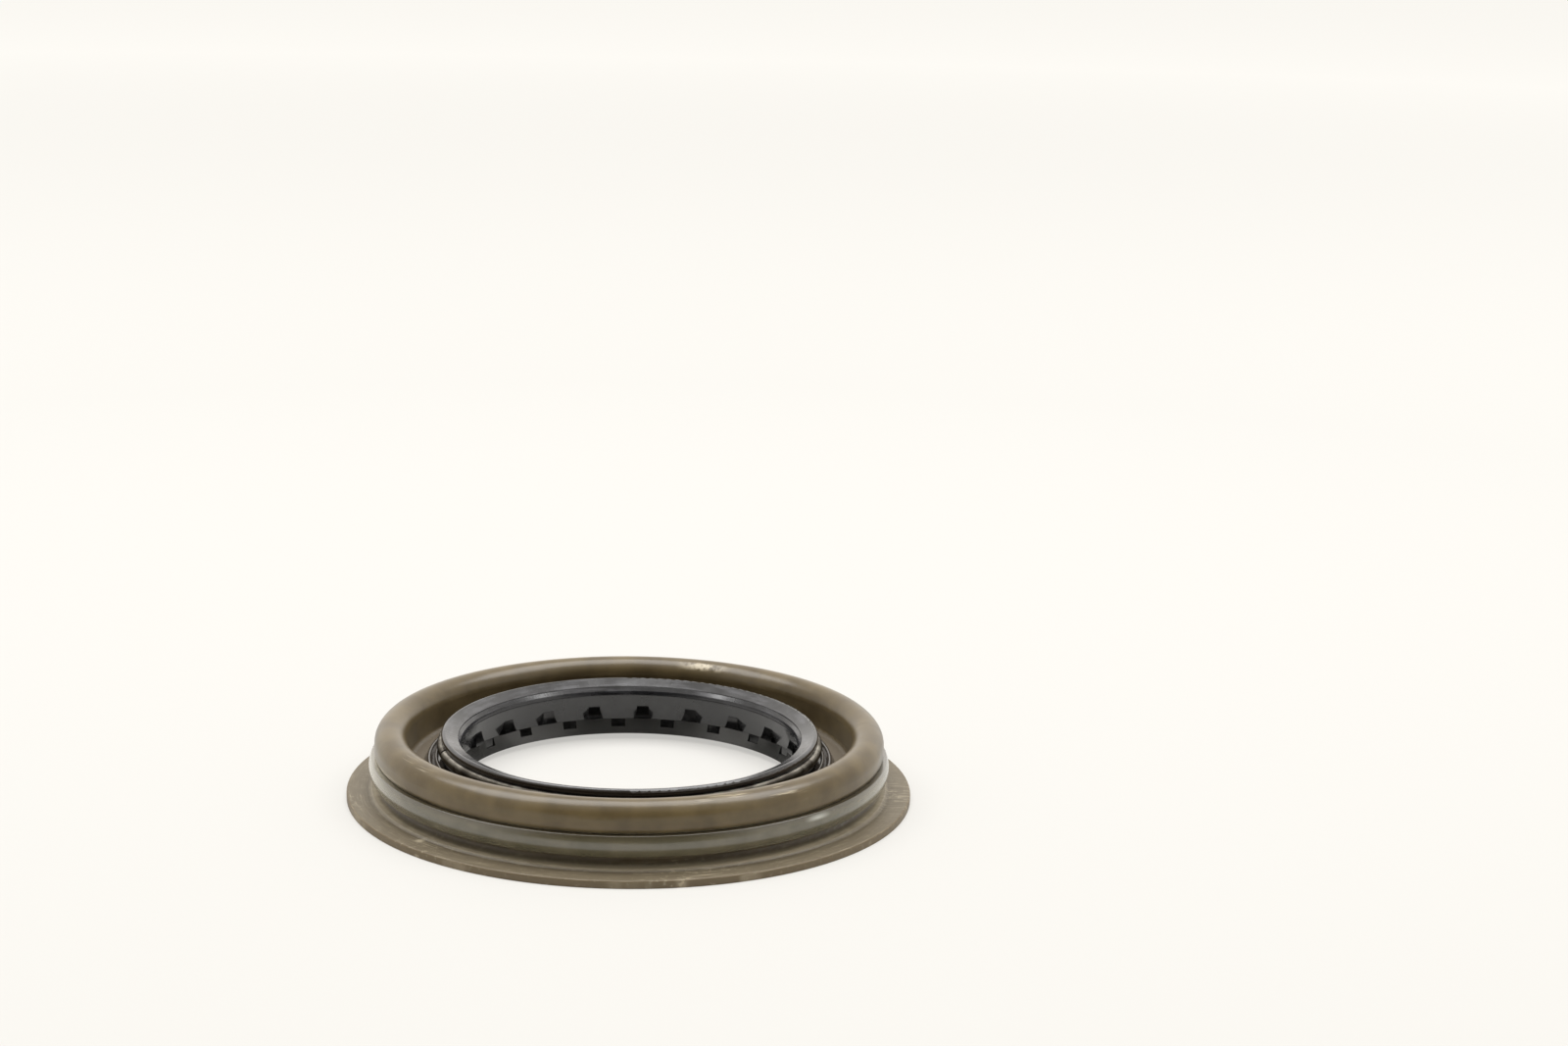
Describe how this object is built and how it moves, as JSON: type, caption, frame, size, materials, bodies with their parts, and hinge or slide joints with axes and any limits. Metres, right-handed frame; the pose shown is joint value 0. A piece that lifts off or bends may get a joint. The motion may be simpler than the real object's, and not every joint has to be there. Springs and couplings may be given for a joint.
{
  "type": "radial shaft seal",
  "caption": "Flanged radial shaft seal: a pressed steel case with a bonded sealing bead, and a moulded rubber lip held to the shaft by a garter spring.",
  "frame": {"origin": "on the seal's axis, at the underside of the flange", "axes": "+Z along the axis towards the oil side, from the flange to the folded rim; +X points at the middle of one moulded pad; +Y completes the frame"},
  "size_m": [0.089, 0.089, 0.0113],
  "materials": {
    "coated_steel": "satin",
    "bead_rubber": "satin",
    "lip_rubber": "glossy",
    "spring_steel": "bright"
  },
  "bodies": {
    "root": {"metal_case": "coated_steel", "sealing_bead": "bead_rubber", "sealing_lip": "lip_rubber", "garter_spring": "spring_steel"}
  },
  "joints": []
}
